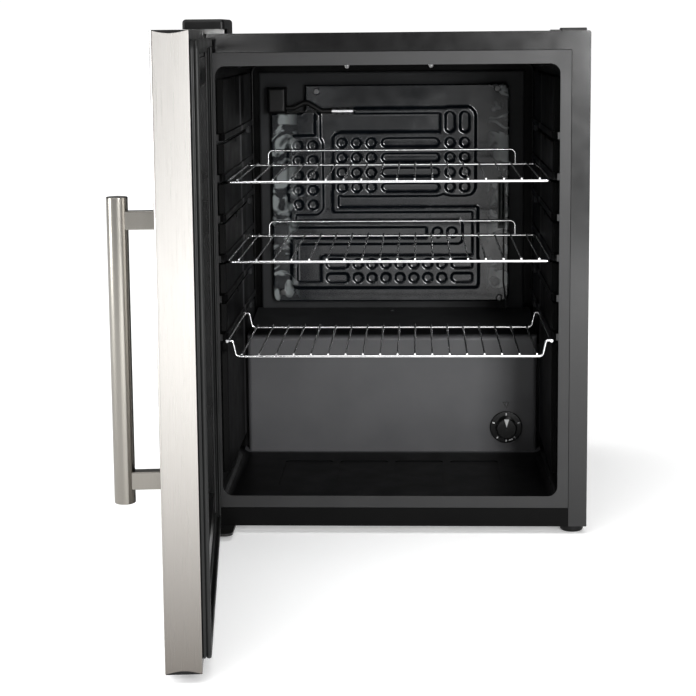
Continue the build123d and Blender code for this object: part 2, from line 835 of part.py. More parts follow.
# ----------------------------------------------------------------- cooling unit

comp_x = 40.0
comp_y = deep(346)
tray_top = floor_z + 2.5
cup_low = tray_top + 12.0
discharge_x = -60.0
coil_y = deep(409)
gland_x = 190.0
gland_z = floor_z + 40.0


def build_compressor_tray():
    """The bay floor, with an upright tab that carries the lead's bush."""
    inner = half - steel - 0.1
    tray = block(-inner, inner, deep(bay_front) + steel + 0.1, back - 1, floor_z, tray_top)
    tab = block(gland_x - 18, inner, deep(416.2), deep(417.8), floor_z, gland_z + 18)
    return tray + tab - rod(6.5, (gland_x, deep(415), gland_z), (gland_x, deep(419), gland_z))


def build_compressor_shell():
    """The welded steel can: a lower bowl, a domed lid and a weld bead."""
    plane = Plane(origin=(comp_x, comp_y, cup_low + 4))
    bowl = extrude(plane * RectangleRounded(150, 112, 50), 48)
    bowl = fillet(bowl.edges().group_by(Axis.Z)[0], 18)
    lid = extrude(plane.offset(48) * RectangleRounded(150, 112, 50), 46)
    lid = fillet(lid.edges().group_by(Axis.Z)[-1], 34)
    bead = extrude(plane.offset(46) * RectangleRounded(156, 118, 53), 4)
    return bowl + lid + bead + compressor_feet()


def compressor_legs():
    return [(comp_x + sx * 84, comp_y + sy * 44) for sx in (-1, 1) for sy in (-1, 1)]


def compressor_feet():
    """Two bars welded under the can, drilled for the rubber mounts."""
    bars = []
    for side in (-1, 1):
        y = comp_y + side * 44
        bar = block(comp_x - 96, comp_x + 96, y - 12, y + 12, cup_low, cup_low + 3)
        bars.append(bar - stud_holes(6.0, compressor_legs(), cup_low - 1, cup_low + 4))
    link = block(comp_x - 20, comp_x + 20, comp_y - 33, comp_y + 33, cup_low + 1, cup_low + 4)
    return bars[0] + bars[1] + link


def build_compressor_mounts():
    made = []
    for x, y in compressor_legs():
        skirt = rod(10, (x, y, tray_top), (x, y, cup_low))
        neck = rod(5.9, (x, y, cup_low), (x, y, cup_low + 3.1))
        collar = rod(8.5, (x, y, cup_low + 3.1), (x, y, cup_low + 6))
        made.append(skirt + neck + collar - rod(3.2, (x, y, 0), (x, y, cup_low + 9)))
    return made


def build_compressor_bolts():
    made = []
    for x, y in compressor_legs():
        shank = rod(3.0, (x, y, tray_top), (x, y, cup_low + 8))
        made.append(shank + rod(6.5, (x, y, cup_low + 6.1), (x, y, cup_low + 7.4)))
    return made


def build_relay_cover():
    """The plastic cover over the motor terminals and start relay."""
    x0 = comp_x + 75.1
    cover = block(x0, x0 + 28, comp_y - 24, comp_y + 24, cup_low + 22, cup_low + 70)
    outer = cover.faces().sort_by(Axis.X)[-1]
    cover = fillet(outer.edges(), 4)
    return cover - block(x0 - 1, comp_x + 78.2, comp_y - 25, comp_y + 25, cup_low + 49, cup_low + 55)


coil_left = discharge_x - 25
coil_low = up(bay_height) + 24.2
coil_pitch = 34.0
coil_rows = 11


def build_condenser_tube():
    """One long tube, from the compressor to the folds up the back."""
    bend = coil_pitch / 2 - 0.05
    reach = 176.0
    outlet = comp_x - 75.5
    outlet_z = cup_low + 44
    points = [
        (outlet, comp_y, outlet_z),
        (coil_left, comp_y, outlet_z),
        (coil_left, coil_y, outlet_z),
        (coil_left, coil_y, coil_low + 22),
    ]
    z = coil_low + 22
    side = 1
    for _ in range(coil_rows - 1):
        points.append((side * reach, coil_y, z))
        z += coil_pitch
        points.append((side * reach, coil_y, z))
        side = -side
    points.append((side * reach, coil_y, z))
    points.append((side * reach, coil_y, z - 14))
    radii = [12.0, 12.0, 8.0] + [bend] * (2 * coil_rows - 2) + [8.0]
    return tube_along(2.5, FilletPolyline(*points, radius=radii))


def build_condenser_wires():
    """Thin upright wires welded across both sides of the folded tube."""
    z0, z1 = coil_low + 14, coil_low + 22 + coil_pitch * (coil_rows - 1) + 8
    made = []
    for i in range(22):
        x = -152.0 + i * 14.5
        y = coil_y + (3.32 if i % 2 else -3.32)
        made.append(rod(0.8, (x, y, z0), (x, y, z1)))
    return made


def build_condenser_brackets():
    """Four stand-off brackets that carry the folded tube."""
    panel = deep(cavity_depth + liner_wall + back_foam) + steel
    made = []
    for x in (-163, 163):
        for row in (2, 8):
            z = coil_low + 22 + row * coil_pitch
            strap = block(x - 6, x + 6, panel, coil_y - 2.55, z - 5, z + 5)
            made.append(strap)
    return made


def build_filter_drier():
    x, y = -150.0, deep(330)
    body = rod(9, (x, y, floor_z + 40), (x, y, floor_z + 118))
    return fillet(body.edges(), 3)


def build_suction_line():
    return tube_along(3.2, suction_path())


def build_drain_tube():
    z0, z1 = up(bay_height) - 12, up(188.0)
    return rod(7.0, (0, drain_y, z0), (0, drain_y, z1)) - rod(5.0, (0, drain_y, z0 - 1), (0, drain_y, z1 + 1))


def build_drip_tray():
    """The pan above the compressor that takes the defrost water."""
    z0 = cup_low + 99.5
    pan = block(-52, 120, deep(bay_front) + 12, deep(410), z0, z0 + 14)
    pan = fillet(pan.edges().filter_by(Axis.Z), 12)
    inside = block(-50.5, 118.5, deep(bay_front) + 13.5, deep(408.5), z0 + 1.6, z0 + 20)
    return pan - fillet(inside.edges().filter_by(Axis.Z), 10.5)


def build_cord_gland():
    """The bush in the rear corner where a mains lead would come in."""
    x, z = gland_x, gland_z
    body = rod(9, (x, deep(412), z), (x, deep(424), z))
    groove = rod(12, (x, deep(416), z), (x, deep(418), z)) - rod(6.5, (x, deep(415), z), (x, deep(419), z))
    return body - groove - rod(4.0, (x, deep(410), z), (x, deep(426), z))


# ------------------------------------------------------------------------- door

skin = 1.0
cap_height = 16.0
glass_thick = 4.0
sight_x = half - frame_border
sight_low = door_bottom + frame_border
sight_high = door_top - frame_border
seal_inset = 8.0
seal_width = 15.0


def build_door_skin():
    """Brushed sheet over the front of the door and round both upright edges."""
    outer = block(-half, half, door_face, frame_back, door_bottom, door_top)
    edges = [e for e in outer.edges().filter_by(Axis.Z) if e.center().Y < door_face + 1]
    outer = fillet(edges, 2.4)
    inner = block(-half + skin, half - skin, door_face + skin, frame_back + 1, 0, door_top + 9)
    window = block(-sight_x, sight_x, door_face - 1, door_face + 3, sight_low, sight_high)
    posts = fuse([rod(3.1, (handle_x, door_face - 1, z), (handle_x, door_face + 3, z)) for z in post_heights()])
    return outer - inner - window - posts


def build_door_frame():
    """The moulded frame inside the skin that holds the glass and the seal."""
    gap = skin + 0.05
    edge = half - gap
    body = block(-edge, edge, door_face + gap, frame_back, door_bottom + cap_height, door_top - cap_height)
    lining = sight_x + 0.0
    window = block(-lining, lining, door_face - 1, frame_back + 1, sight_low, sight_high)
    body = body - window
    grip = 9.0
    glass = block(-sight_x - grip, sight_x + grip, glass_y0 - 0.05, glass_y1 + 0.05, sight_low - grip, sight_high + grip)
    return body - glass - handle_screw_room()


glass_y0 = door_face + 4.0
glass_y1 = glass_y0 + 2 * glass_thick + 12.0


def handle_screw_room():
    return fuse([rod(5.5, (handle_x, door_face + 0.5, z), (handle_x, door_face + 13, z)) for z in post_heights()])


def build_pane(y):
    grip = 9.0
    return block(-sight_x - grip, sight_x + grip, y, y + glass_thick, sight_low - grip, sight_high + grip)


def build_glass_spacer():
    """The bar round the edge that keeps the two panes apart."""
    grip, bar = 8.6, 7.0
    y0, y1 = glass_y0 + glass_thick, glass_y1 - glass_thick
    outer = block(-sight_x - grip, sight_x + grip, y0, y1, sight_low - grip, sight_high + grip)
    x, z0, z1 = sight_x + grip - bar, sight_low - grip + bar, sight_high + grip - bar
    return outer - block(-x, x, y0 - 1, y1 + 1, z0, z1)


def build_end_cap(z_outer, way):
    """A moulded cap that closes one end of the door and holds the hinge bush."""
    gap = skin + 0.05
    edge = half - gap
    z0, z1 = sorted((z_outer, z_outer + way * (cap_height - 0.05)))
    cap = block(-edge, edge, door_face + gap, frame_back, z0, z1)
    bush = rod(6.0, (pin_x, pin_y, z_outer - way), (pin_x, pin_y, z_outer + way * 14))
    return cap - bush


def build_hinge_bush(z_outer, way):
    start, end = z_outer, z_outer + way * 13.9
    body = rod(5.95, (pin_x, pin_y, start), (pin_x, pin_y, end))
    return body - rod(pin_radius + running_gap, (pin_x, pin_y, start - way), (pin_x, pin_y, end + way))


def ring(inset, width, y0, y1):
    """A rectangular ring that follows the door's edge."""
    x = half - inset
    z0, z1 = door_bottom + inset, door_top - inset
    outer = block(-x, x, y0, y1, z0, z1)
    outer = fillet(outer.edges().filter_by(Axis.Y), 4)
    return outer - block(-x + width, x - width, y0 - 1, y1 + 1, z0 + width, z1 - width)


def build_door_seal():
    """The magnetic gasket: a foot, a bellows neck and a face lip."""
    foot = ring(seal_inset, seal_width, frame_back, frame_back + 2.0)
    neck = ring(seal_inset + 3.5, seal_width - 7, frame_back + 1.9, frame_back + 4.1)
    lip = ring(seal_inset, seal_width, frame_back + 4.0, seal_back)
    return foot + neck + lip


def build_inner_trim():
    """A thin raised bead round the glass, inside the gasket."""
    inset = seal_inset + seal_width + 4
    return ring(inset, frame_border - inset, frame_back, frame_back + 1.6)


handle_x = half - handle_inset
bar_y = door_face - handle_reach
handle_mid = floor_z + 282.0
post_offset = 115.3


def post_heights():
    return [handle_mid - post_offset, handle_mid + post_offset]


def build_handle_bar():
    z0, z1 = handle_mid - handle_length / 2, handle_mid + handle_length / 2
    bar = rod(handle_radius, (handle_x, bar_y, z0), (handle_x, bar_y, z1))
    bar = fillet(bar.edges().group_by(Axis.Z)[0] + bar.edges().group_by(Axis.Z)[-1], 0.8)
    for z in post_heights():
        bar = bar - block(handle_x - 12, handle_x + 12, bar_y + handle_radius - 2.6, bar_y + 14, z - 8, z + 8)
    return bar


def build_handle_posts():
    made = []
    for z in post_heights():
        y0 = bar_y + handle_radius - 2.6
        post = block(handle_x - 6, handle_x + 6, y0, door_face, z - 8, z + 8)
        post = fillet(post.edges().filter_by(Axis.Y), 0.8)
        made.append(post - rod(2.0, (handle_x, door_face - 14, z), (handle_x, door_face + 1, z)))
    return made


def build_handle_screws():
    made = []
    for z in post_heights():
        shank = rod(2.0, (handle_x, door_face - 13, z), (handle_x, door_face + skin + 2, z))
        head = rod(4.5, (handle_x, door_face + skin + 0.05, z), (handle_x, door_face + skin + 3, z))
        made.append(shank + head)
    return made


# ------------------------------------------------------------------------ write

save("cabinet_shell", build_cabinet_shell())
save("front_bottom_rail", build_front_bottom_rail())
save("base_plate", build_base_plate())
save("bay_panel", build_bay_panel())
save("back_panel", build_back_panel())
save("foam_insulation", build_foam())
save("inner_liner", build_inner_liner())

save("evaporator_plate", build_evaporator_plate())
save("evaporator_screws", *build_plate_screws())
save("line_port_cover", build_port_cover())
save("line_sleeve", build_line_sleeve())
save("line_joint", build_line_joint())
save("capillary_line", build_capillary())
save("sensor_clip", build_sensor_clip())
save("sensor_line", build_sensor_line())

save("thermostat_body", build_thermostat_body())
save("thermostat_shaft", build_thermostat_shaft())
save("thermostat_knob", build_thermostat_knob())
save("knob_marks", knob_pointer(), *build_knob_marks())
save("dial_index_mark", build_dial_index())
save("lamp_lenses", *build_lamp_lenses())

save("shelf_top", build_railed_shelf(up(groove_top - groove_pitch)))
save("shelf_middle", build_railed_shelf(up(groove_top - 3 * groove_pitch)))
save("shelf_bottom", build_hanging_shelf())

save("top_hinge_plate", build_top_hinge_plate())
save("top_hinge_spacer", build_top_hinge_spacer())
save("top_hinge_pin", build_top_hinge_pin())
save("hinge_screws", *build_hinge_screws())
save("top_hinge_cover", build_top_hinge_cover())
save("spare_hinge_cap", build_spare_hinge_cap())
save("bottom_hinge_plate", build_bottom_hinge_plate())
save("bottom_hinge_pin", build_bottom_hinge_pin())
save("front_left_foot", build_front_foot(foot_places()[0], floor_z - 3.3))
save("front_right_foot", build_front_foot(foot_places()[1], floor_z - 0.3))
save("rear_feet", *build_rear_feet())

save("compressor_tray", build_compressor_tray())
save("compressor_shell", build_compressor_shell())
save("compressor_mounts", *build_compressor_mounts())
save("compressor_bolts", *build_compressor_bolts())
save("relay_cover", build_relay_cover())
save("condenser_tube", build_condenser_tube())
save("condenser_wires", *build_condenser_wires())
save("condenser_brackets", *build_condenser_brackets())
save("filter_drier", build_filter_drier())
save("suction_line", build_suction_line())
save("drain_tube", build_drain_tube())
save("drip_tray", build_drip_tray())
save("cord_gland", build_cord_gland())

save("door_skin", swing(build_door_skin()))
save("door_frame", swing(build_door_frame()))
save("glass_panes", swing(build_pane(glass_y0)), swing(build_pane(glass_y1 - glass_thick)))
save("glass_spacer", swing(build_glass_spacer()))
save("door_end_caps", swing(build_end_cap(door_top, -1)), swing(build_end_cap(door_bottom, 1)))
save("hinge_bushes", swing(build_hinge_bush(door_top, -1)), swing(build_hinge_bush(door_bottom, 1)))
save("door_seal", swing(build_door_seal()))
save("door_inner_trim", swing(build_inner_trim()))
save("handle_bar", swing(build_handle_bar()))
save("handle_posts", *[swing(post) for post in build_handle_posts()])
save("handle_screws", *[swing(screw) for screw in build_handle_screws()])
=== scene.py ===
import json
import math

import bmesh
import bpy
import numpy as np
from mathutils import Matrix, Vector, noise
from mathutils.bvhtree import BVHTree


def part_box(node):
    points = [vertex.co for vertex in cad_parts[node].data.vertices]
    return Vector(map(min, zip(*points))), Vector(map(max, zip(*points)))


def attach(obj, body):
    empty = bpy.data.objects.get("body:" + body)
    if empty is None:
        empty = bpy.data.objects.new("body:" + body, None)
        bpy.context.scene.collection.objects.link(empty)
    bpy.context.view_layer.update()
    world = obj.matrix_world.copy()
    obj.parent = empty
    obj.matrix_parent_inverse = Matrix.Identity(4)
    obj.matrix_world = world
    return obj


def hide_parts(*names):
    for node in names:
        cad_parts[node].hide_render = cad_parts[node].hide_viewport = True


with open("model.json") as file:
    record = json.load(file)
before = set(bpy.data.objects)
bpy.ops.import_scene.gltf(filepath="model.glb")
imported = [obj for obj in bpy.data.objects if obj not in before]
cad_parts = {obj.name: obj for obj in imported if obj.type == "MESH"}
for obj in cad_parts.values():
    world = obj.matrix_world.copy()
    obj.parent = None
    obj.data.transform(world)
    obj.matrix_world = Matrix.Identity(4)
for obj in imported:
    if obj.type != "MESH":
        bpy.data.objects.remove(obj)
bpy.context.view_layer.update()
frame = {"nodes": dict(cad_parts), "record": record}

nodes = frame["nodes"]
scene = bpy.context.scene
scene.view_settings.view_transform = "Standard"
scene.view_settings.gamma = 0.86

# ------------------------------------------------- places read from the frame

wall_behind_plate = 0.0104   # the gap between the cold plate and the cavity's back wall
liner_floor_height = 0.0145  # the cavity's floor over the liner's lowest point
lamp_recess = 0.003          # how far the lamps' tops stand above the cavity's ceiling
shelf_in_groove = 0.0011     # how far a shelf's side reaches into the walls' raised fields

cabinet_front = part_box("cabinet_shell")[0][1]
back_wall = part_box("evaporator_plate")[1][1] + wall_behind_plate
plate_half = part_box("evaporator_plate")[1][0]
hump_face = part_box("dial_index_mark")[1][1]  # the hump is the step over the compressor
cavity_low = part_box("inner_liner")[0][2] + liner_floor_height
cavity_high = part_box("lamp_lenses")[1][2] - lamp_recess
pad_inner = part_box("shelf_top")[1][0] - shelf_in_groove

door_joint = next(j for j in frame["record"]["behaviour"]["joints"] if j["name"] == "door_hinge")
hinge_pin = Vector((door_joint["pos_m"][0], door_joint["pos_m"][1], 0.0))
shut = Matrix.Rotation(math.radians(-door_joint["range_deg"][0]), 4, "Z")  # turns the open door shut
opened = shut.inverted()

# ------------------------------------------------------------------ materials

mix_factor, mix_first, mix_second, mix_result = 0, 6, 7, 2  # sockets of a colour Mix node


class Finish:
    """A procedural material, built one step at a time."""

    def __init__(self, name, metallic=0.0, **fixed):
        self.material = bpy.data.materials.new(name)
        self.material.use_nodes = True
        self.tree = self.material.node_tree
        self.shader = self.tree.nodes["Principled BSDF"]
        self.shader.inputs["Metallic"].default_value = metallic
        for socket, value in fixed.items():
            self.shader.inputs[socket.replace("_", " ")].default_value = value
        self.place = self.tree.nodes.new("ShaderNodeTexCoord").outputs["Object"]

    def add(self, kind, **settings):
        node = self.tree.nodes.new("ShaderNode" + kind)
        for key, value in settings.items():
            setattr(node, key, value)
        return node

    def link(self, source, target):
        self.tree.links.new(source, target)

    def axes(self):
        """The place's three coordinates, as separate values."""
        node = self.add("SeparateXYZ")
        self.link(self.place, node.inputs[0])
        return node.outputs

    def calc(self, kind, first, second=None):
        node = self.add("Math", operation=kind)
        self.link(first, node.inputs[0])
        if second is not None:
            self.link(second, node.inputs[1])
        return node.outputs[0]

    def noise(self, size, detail=3.0, stretch=(1, 1, 1), distort=0.0, shift=0.0):
        """Noise whose features are about size metres across, longer along a stretched axis."""
        mapping = self.add("Mapping")
        mapping.inputs["Scale"].default_value = [1 / (size * s) for s in stretch]
        mapping.inputs["Location"].default_value = (shift, shift, shift)
        self.link(self.place, mapping.inputs["Vector"])
        node = self.add("TexNoise")
        node.inputs["Scale"].default_value = 1.0
        node.inputs["Detail"].default_value = detail
        node.inputs["Distortion"].default_value = distort
        self.link(mapping.outputs["Vector"], node.inputs["Vector"])
        return node.outputs["Fac"]

    def spread(self, fac, low, high, start=0.3, end=0.7):
        """Runs from low to high while fac goes from start to end."""
        node = self.add("MapRange")
        for socket, value in (("From Min", start), ("From Max", end), ("To Min", low), ("To Max", high)):
            node.inputs[socket].default_value = value
        self.link(fac, node.inputs["Value"])
        return node.outputs["Result"]

    def blend(self, fac, first, second):
        """Mixes two colours, each one a fixed colour or another step's result."""
        node = self.add("Mix", data_type="RGBA")
        for socket, value in ((mix_first, first), (mix_second, second)):
            if isinstance(value, bpy.types.NodeSocket):
                self.link(value, node.inputs[socket])
            else:
                node.inputs[socket].default_value = (*value, 1)
        self.link(fac, node.inputs[mix_factor])
        return node.outputs[mix_result]

    def cloud(self, size, first, second, detail=3.0, **noise_settings):
        """Two colours mixed in soft patches."""
        return self.blend(self.spread(self.noise(size, detail, **noise_settings), 0, 1), first, second)

    def colour(self, result):
        self.link(result, self.shader.inputs["Base Color"])
        return self

    def rough(self, fac, low, high):
        self.link(self.spread(fac, low, high), self.shader.inputs["Roughness"])
        return self

    def bump(self, height, depth):
        """Relief of about depth metres."""
        node = self.add("Bump")
        node.inputs["Strength"].default_value = 1.0
        node.inputs["Distance"].default_value = depth
        self.link(height, node.inputs["Height"])
        self.link(node.outputs["Normal"], self.shader.inputs["Normal"])
        return self


def paint(name, dark, light, rough, **fixed):
    """Sprayed paint with a slight orange peel and faint handling marks."""
    patch_size, mark_size, peel_size, peel_depth = 0.06, 0.02, 0.0016, 0.00002
    f = Finish(name, **fixed)
    f.colour(f.cloud(patch_size, dark, light))
    f.rough(f.noise(mark_size, 5), *rough)
    return f.bump(f.noise(peel_size, 2), peel_depth).material


def plastic(name, dark, light, rough=(0.35, 0.5), grain=0.00003, **fixed):
    """Moulded plastic with a fine eroded grain."""
    patch_size, mark_size, grain_size = 0.09, 0.03, 0.0007
    f = Finish(name, **fixed)
    f.colour(f.cloud(patch_size, dark, light, 2))
    f.rough(f.noise(mark_size, 4), *rough)
    return f.bump(f.noise(grain_size, 3), grain).material


def brushed(name, dark, light, foot, rough=(0.27, 0.30)):
    """Steel with fine upright brushing, darkened towards its lower end by painted shade."""
    line, line_depth, upright, lit_height = 0.00022, 0.0000006, (1, 1, 160), 0.36
    f = Finish(name, metallic=1.0)
    streaks = f.noise(line, 4, upright)
    grain = f.cloud(line * 2, dark, light, 4, stretch=upright, shift=7.0)
    # Painted shade: the colour runs from the brushed grain above lit_height down to the dark foot colour at
    # the bottom.
    f.colour(f.blend(f.spread(f.axes()["Z"], 0, 1, 0.0, lit_height), foot, grain))
    f.rough(f.noise(line * 2, 3, upright, shift=3.0), *rough)
    return f.bump(streaks, line_depth).material


def metal(name, dark, light, rough=(0.2, 0.35), size=0.004):
    """Plain metal with cloudy wear of about size metres."""
    scratch_depth = 0.000008
    f = Finish(name, metallic=1.0)
    f.colour(f.cloud(size * 4, dark, light, 4))
    f.rough(f.noise(size, 4, shift=5.0), *rough)
    return f.bump(f.noise(size / 6, 2), scratch_depth).material


def liner_finish():
    """Black plastic: satin on the raised fields, polished where the mould was smooth. Its colour holds
    painted light and shade: lighter on the back wall, the hump's face and the front flange, near black on
    the side walls, floor and ceiling.
    """
    f = Finish("liner_plastic")
    x, y, z = f.axes()
    past_face, past_wall = 0.0004, 0.0012
    hump_lead, hump_run = 0.006, 0.008
    # From rear_start back, the walls get a lighter colour as painted light.
    rear_start = hump_face + 0.05
    level_margin = 0.012
    polished, satin_roughness = 0.2, 0.42
    inner_shine, front_shine = 0.1, 0.5

    def below(value, limit, soft=0.0008):
        return f.spread(value, 1, 0, limit, limit + soft)

    def above(value, limit, soft=0.0008):
        return f.spread(value, 0, 1, limit - soft, limit)

    within = below(f.calc("ABSOLUTE", x), pad_inner + past_face)
    walls = f.calc("MULTIPLY", within, below(y, back_wall + past_wall))
    hump = f.calc("MULTIPLY", above(y, hump_face - hump_lead, 0.002), below(y, hump_face + hump_run, 0.003))
    flange = below(y, cabinet_front + past_face)
    # level is 1 between the cavity's floor and ceiling; outside it the floor and ceiling get painted shade.
    level = f.calc(
        "MULTIPLY", above(z, cavity_low + level_margin, 0.006), below(z, cavity_high - level_margin, 0.006)
    )

    # The colours below are lit and shaded copies of one black plastic (painted light and painted shade),
    # with random patches.
    patches = f.spread(f.noise(0.05, 3), 0, 1)
    # side: near black painted shade on the side walls' raised fields.
    side = f.blend(patches, (0.002, 0.002, 0.0022), (0.005, 0.005, 0.0052))
    # rear: painted light on the back wall.
    rear = f.blend(patches, (0.034, 0.035, 0.036), (0.044, 0.045, 0.047))
    # step: brighter painted light on the hump's face.
    step = f.blend(patches, (0.074, 0.074, 0.078), (0.088, 0.088, 0.092))
    # edge: painted light on the front flange.
    edge = f.blend(patches, (0.016, 0.016, 0.0165), (0.021, 0.021, 0.0215))
    # satin carries the painted light and shade of the satin fields.
    satin = f.blend(above(y, rear_start, 0.004), side, rear)
    satin = f.blend(level, (0.002, 0.002, 0.0022), satin)
    satin = f.blend(hump, satin, step)
    f.colour(f.blend(flange, f.blend(walls, (0.003, 0.003, 0.003), satin), edge))

    polish = f.spread(f.calc("MAXIMUM", walls, flange), polished, satin_roughness, 0, 1)
    wear = f.spread(f.noise(0.03, 4), -0.03, 0.05)
    f.link(f.calc("ADD", polish, wear), f.shader.inputs["Roughness"])
    shine = f.spread(f.calc("MAXIMUM", flange, hump), inner_shine, front_shine, 0, 1)
    f.link(shine, f.shader.inputs["Specular IOR Level"])
    return f.bump(f.noise(0.0012, 2), 0.00001).material


def foam_finish():
    """Cream rigid foam with open cells; within the front seam it is near black, as painted shade."""
    f = Finish("foam")
    painted_shade_end, cream_start = cabinet_front + 0.012, cabinet_front + 0.02
    cream = f.cloud(0.09, (0.62, 0.5, 0.28), (0.75, 0.63, 0.4), 2)
    # Painted shade: near black at the front seam, fading to cream further back.
    f.colour(f.blend(f.spread(f.axes()["Y"], 0, 1, painted_shade_end, cream_start), (0.002, 0.002, 0.002), cream))
    f.rough(f.noise(0.03, 4), 0.8, 0.95)
    return f.bump(f.noise(0.003, 3), 0.0004).material


def plate_finish():
    """Glossy black lacquer, blotched with dark blue as painted reflection, with pale bare patches towards
    the plate's side edges.
    """
    f = Finish("plate_gloss", Coat_Weight=0.3, Coat_Roughness=0.08)
    bare_from, bare_full = plate_half - 0.030, plate_half - 0.012
    near_edge = f.spread(f.calc("ABSOLUTE", f.axes()["X"]), 0, 1, bare_from, bare_full)
    worn = f.spread(f.noise(0.030, 2, distort=1.4, shift=2.3), 0, 1, 0.50, 0.58)
    # dark: black lacquer colour blotched with dark blue, a painted reflection.
    dark = f.cloud(0.05, (0.0025, 0.004, 0.006), (0.005, 0.0075, 0.0105))
    f.colour(f.blend(f.calc("MULTIPLY", near_edge, worn), dark, (0.24, 0.26, 0.26)))
    f.rough(f.noise(0.02, 5), 0.14, 0.26)
    return f.bump(f.noise(0.0016, 2), 0.00002).material


def tinted_glass():
    f = Finish("tinted_glass", Transmission_Weight=1.0, IOR=1.5)
    f.colour(f.cloud(0.2, (0.36, 0.38, 0.39), (0.40, 0.42, 0.43), 2))
    return f.rough(f.noise(0.05, 3), 0.0, 0.02).material


black_paint = paint(
    "black_paint", (0.002, 0.002, 0.0022), (0.0035, 0.0035, 0.0037), (0.16, 0.22),
    Coat_Weight=0.5, Coat_Roughness=0.12,
)
rail_paint = paint(
    "rail_paint", (0.001, 0.001, 0.001), (0.002, 0.002, 0.002), (0.4, 0.5), Specular_IOR_Level=0.12
)
rear_paint = paint("rear_paint", (0.03, 0.03, 0.031), (0.045, 0.045, 0.046), (0.4, 0.55))
dark_enamel = paint("dark_enamel", (0.006, 0.006, 0.006), (0.012, 0.012, 0.012), (0.25, 0.4))
liner_plastic = liner_finish()
frame_plastic = plastic(
    "frame_plastic", (0.0015, 0.0015, 0.0015), (0.003, 0.003, 0.003), (0.25, 0.35), Specular_IOR_Level=0.3
)
cover_plastic = plastic(
    "cover_plastic", (0.003, 0.003, 0.0032), (0.005, 0.005, 0.0052), (0.34, 0.46), 0.00004,
    Specular_IOR_Level=0.3,
)
knob_plastic = plastic("knob_plastic", (0.0015, 0.0015, 0.0015), (0.003, 0.003, 0.003), (0.16, 0.24))
bush_plastic = plastic("bush_plastic", (0.55, 0.54, 0.5), (0.66, 0.65, 0.61))
rubber = plastic(
    "rubber", (0.003, 0.003, 0.003), (0.006, 0.006, 0.006), (0.45, 0.6), 0.00006, Specular_IOR_Level=0.3
)
seal_rubber = plastic(
    "seal_rubber", (0.006, 0.0065, 0.0065), (0.012, 0.0125, 0.012), (0.4, 0.55), Specular_IOR_Level=0.35
)
screw_dark = metal("screw_dark", (0.10, 0.10, 0.10), (0.16, 0.16, 0.16), (0.25, 0.4))
print_white = plastic("print_white", (0.72, 0.72, 0.72), (0.85, 0.85, 0.85))
foam = foam_finish()
# In door_steel and handle_steel the last colour is the painted shade at their lower end.
door_steel = brushed("door_steel", (0.545, 0.53, 0.51), (0.575, 0.56, 0.54), (0.16, 0.148, 0.135))
handle_steel = brushed(
    "handle_steel", (0.24, 0.23, 0.21), (0.28, 0.27, 0.25), (0.17, 0.16, 0.145), (0.17, 0.21)
)
zinc = metal("zinc", (0.42, 0.42, 0.42), (0.58, 0.58, 0.57), (0.35, 0.55), 0.01)
bright = metal("bright", (0.62, 0.62, 0.62), (0.75, 0.75, 0.74), (0.12, 0.22))
wire_chrome = metal("wire_chrome", (0.66, 0.66, 0.67), (0.80, 0.80, 0.80), (0.12, 0.24), 0.003)
aluminium = metal("aluminium", (0.60, 0.60, 0.61), (0.72, 0.72, 0.73), (0.3, 0.45))
clip_grey = plastic("clip_grey", (0.014, 0.018, 0.017), (0.03, 0.035, 0.033), (0.3, 0.45))
copper = metal("copper", (0.55, 0.25, 0.13), (0.72, 0.38, 0.22), (0.22, 0.4), 0.006)
plate_gloss = plate_finish()
lamp_clear = plastic(
    "lamp_clear", (0.8, 0.8, 0.8), (0.9, 0.9, 0.9), (0.05, 0.12), 0.0, Transmission_Weight=0.6
)
glass = tinted_glass()

finishes = {
    black_paint: "cabinet_shell",
    rail_paint: "front_bottom_rail",
    rear_paint: "back_panel",
    zinc: "base_plate bay_panel compressor_tray top_hinge_plate top_hinge_spacer",
    dark_enamel: """compressor_shell condenser_tube condenser_wires condenser_brackets bottom_hinge_plate
        capillary_line sensor_line""",
    liner_plastic: "inner_liner",
    plate_gloss: "evaporator_plate",
    cover_plastic: """line_port_cover thermostat_body top_hinge_cover spare_hinge_cap relay_cover drain_tube
        drip_tray front_left_foot front_right_foot rear_feet""",
    frame_plastic: "door_frame door_end_caps door_inner_trim",
    bush_plastic: "hinge_bushes",
    rubber: "line_sleeve compressor_mounts cord_gland",
    seal_rubber: "door_seal",
    print_white: "knob_marks",
    knob_plastic: "thermostat_knob dial_index_mark",
    foam: "foam_insulation",
    door_steel: "door_skin",
    handle_steel: "handle_bar handle_posts",
    screw_dark: "evaporator_screws",
    bright: """thermostat_shaft top_hinge_pin bottom_hinge_pin hinge_screws compressor_bolts
        handle_screws""",
    wire_chrome: "shelf_top shelf_middle shelf_bottom",
    aluminium: "line_joint glass_spacer",
    clip_grey: "sensor_clip",
    copper: "filter_drier suction_line",
    lamp_clear: "lamp_lenses",
    glass: "glass_panes",
}
for material, names in finishes.items():
    for name in names.split():
        slots = nodes[name].data.materials
        slots.clear()
        slots.append(material)

# -------------------------------------------------------------- shaped pieces


def mesh_object(name, points, faces, material):
    mesh = bpy.data.meshes.new(name)
    mesh.from_pydata([tuple(p) for p in points], [], faces)
    piece = bpy.data.objects.new(name, mesh)
    scene.collection.objects.link(piece)
    mesh.materials.append(material)
    return piece


def add_piece(name, points, faces, material, body, stands_for):
    """A smooth mesh piece that rides with a body and stands for a CAD node."""
    piece = mesh_object(name, points, faces, material)
    piece.data.polygons.foreach_set("use_smooth", [True] * len(faces))
    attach(piece, body)
    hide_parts(stands_for)


def soften(field, passes):
    """A repeated small blur, so that pressed shapes get pillowed edges."""
    for _ in range(passes):
        for axis in (0, 1):
            field = (np.roll(field, 1, axis) + 2 * field + np.roll(field, -1, axis)) / 4
    return field


